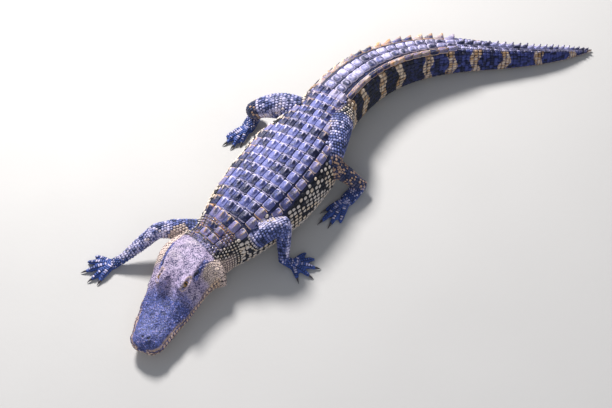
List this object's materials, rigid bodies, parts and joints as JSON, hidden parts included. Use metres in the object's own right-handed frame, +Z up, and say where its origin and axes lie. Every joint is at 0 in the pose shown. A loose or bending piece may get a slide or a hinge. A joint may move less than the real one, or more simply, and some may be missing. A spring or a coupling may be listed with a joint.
{
  "type": "american alligator model",
  "caption": "Still, life-size model of a young American alligator lying on its belly, head turned a little and tail swung to its left.",
  "frame": {"origin": "the point on the floor under the middle of the trunk, on the flat underside of the belly", "axes": "+Z up, head toward -Y, the animal's left toward +X, tail toward +Y and curving to +X"},
  "size_m": [0.6767, 1.3236, 0.1373],
  "materials": {
    "hide": "satin",
    "banded_hide": "satin",
    "jowl": "satin",
    "eye": "glossy",
    "claw": "satin"
  },
  "bodies": {
    "root": {"claw_foot_left_1": "claw", "claw_foot_left_2": "claw", "claw_foot_left_3": "claw", "claw_foot_right_1": "claw", "claw_foot_right_2": "claw", "claw_foot_right_3": "claw", "claw_hand_left_1": "claw", "claw_hand_left_2": "claw", "claw_hand_left_3": "claw", "claw_hand_right_1": "claw", "claw_hand_right_2": "claw", "claw_hand_right_3": "claw", "eye_left": "eye", "eye_right": "eye", "foot_left": "hide", "foot_right": "hide", "forearm_left": "hide", "forearm_right": "hide", "hand_left": "hide", "hand_right": "hide", "head": "hide", "lower_jaw": "jowl", "neck": "hide", "pelvis": "hide", "shank_left": "hide", "shank_right": "hide", "tail_1": "banded_hide", "tail_2": "banded_hide", "tail_3": "banded_hide", "tail_4": "banded_hide", "tail_5": "banded_hide", "thigh_left": "hide", "thigh_right": "hide", "throat": "jowl", "torso_front": "hide", "torso_middle": "hide", "upper_arm_left": "hide", "upper_arm_right": "hide"}
  },
  "joints": []
}
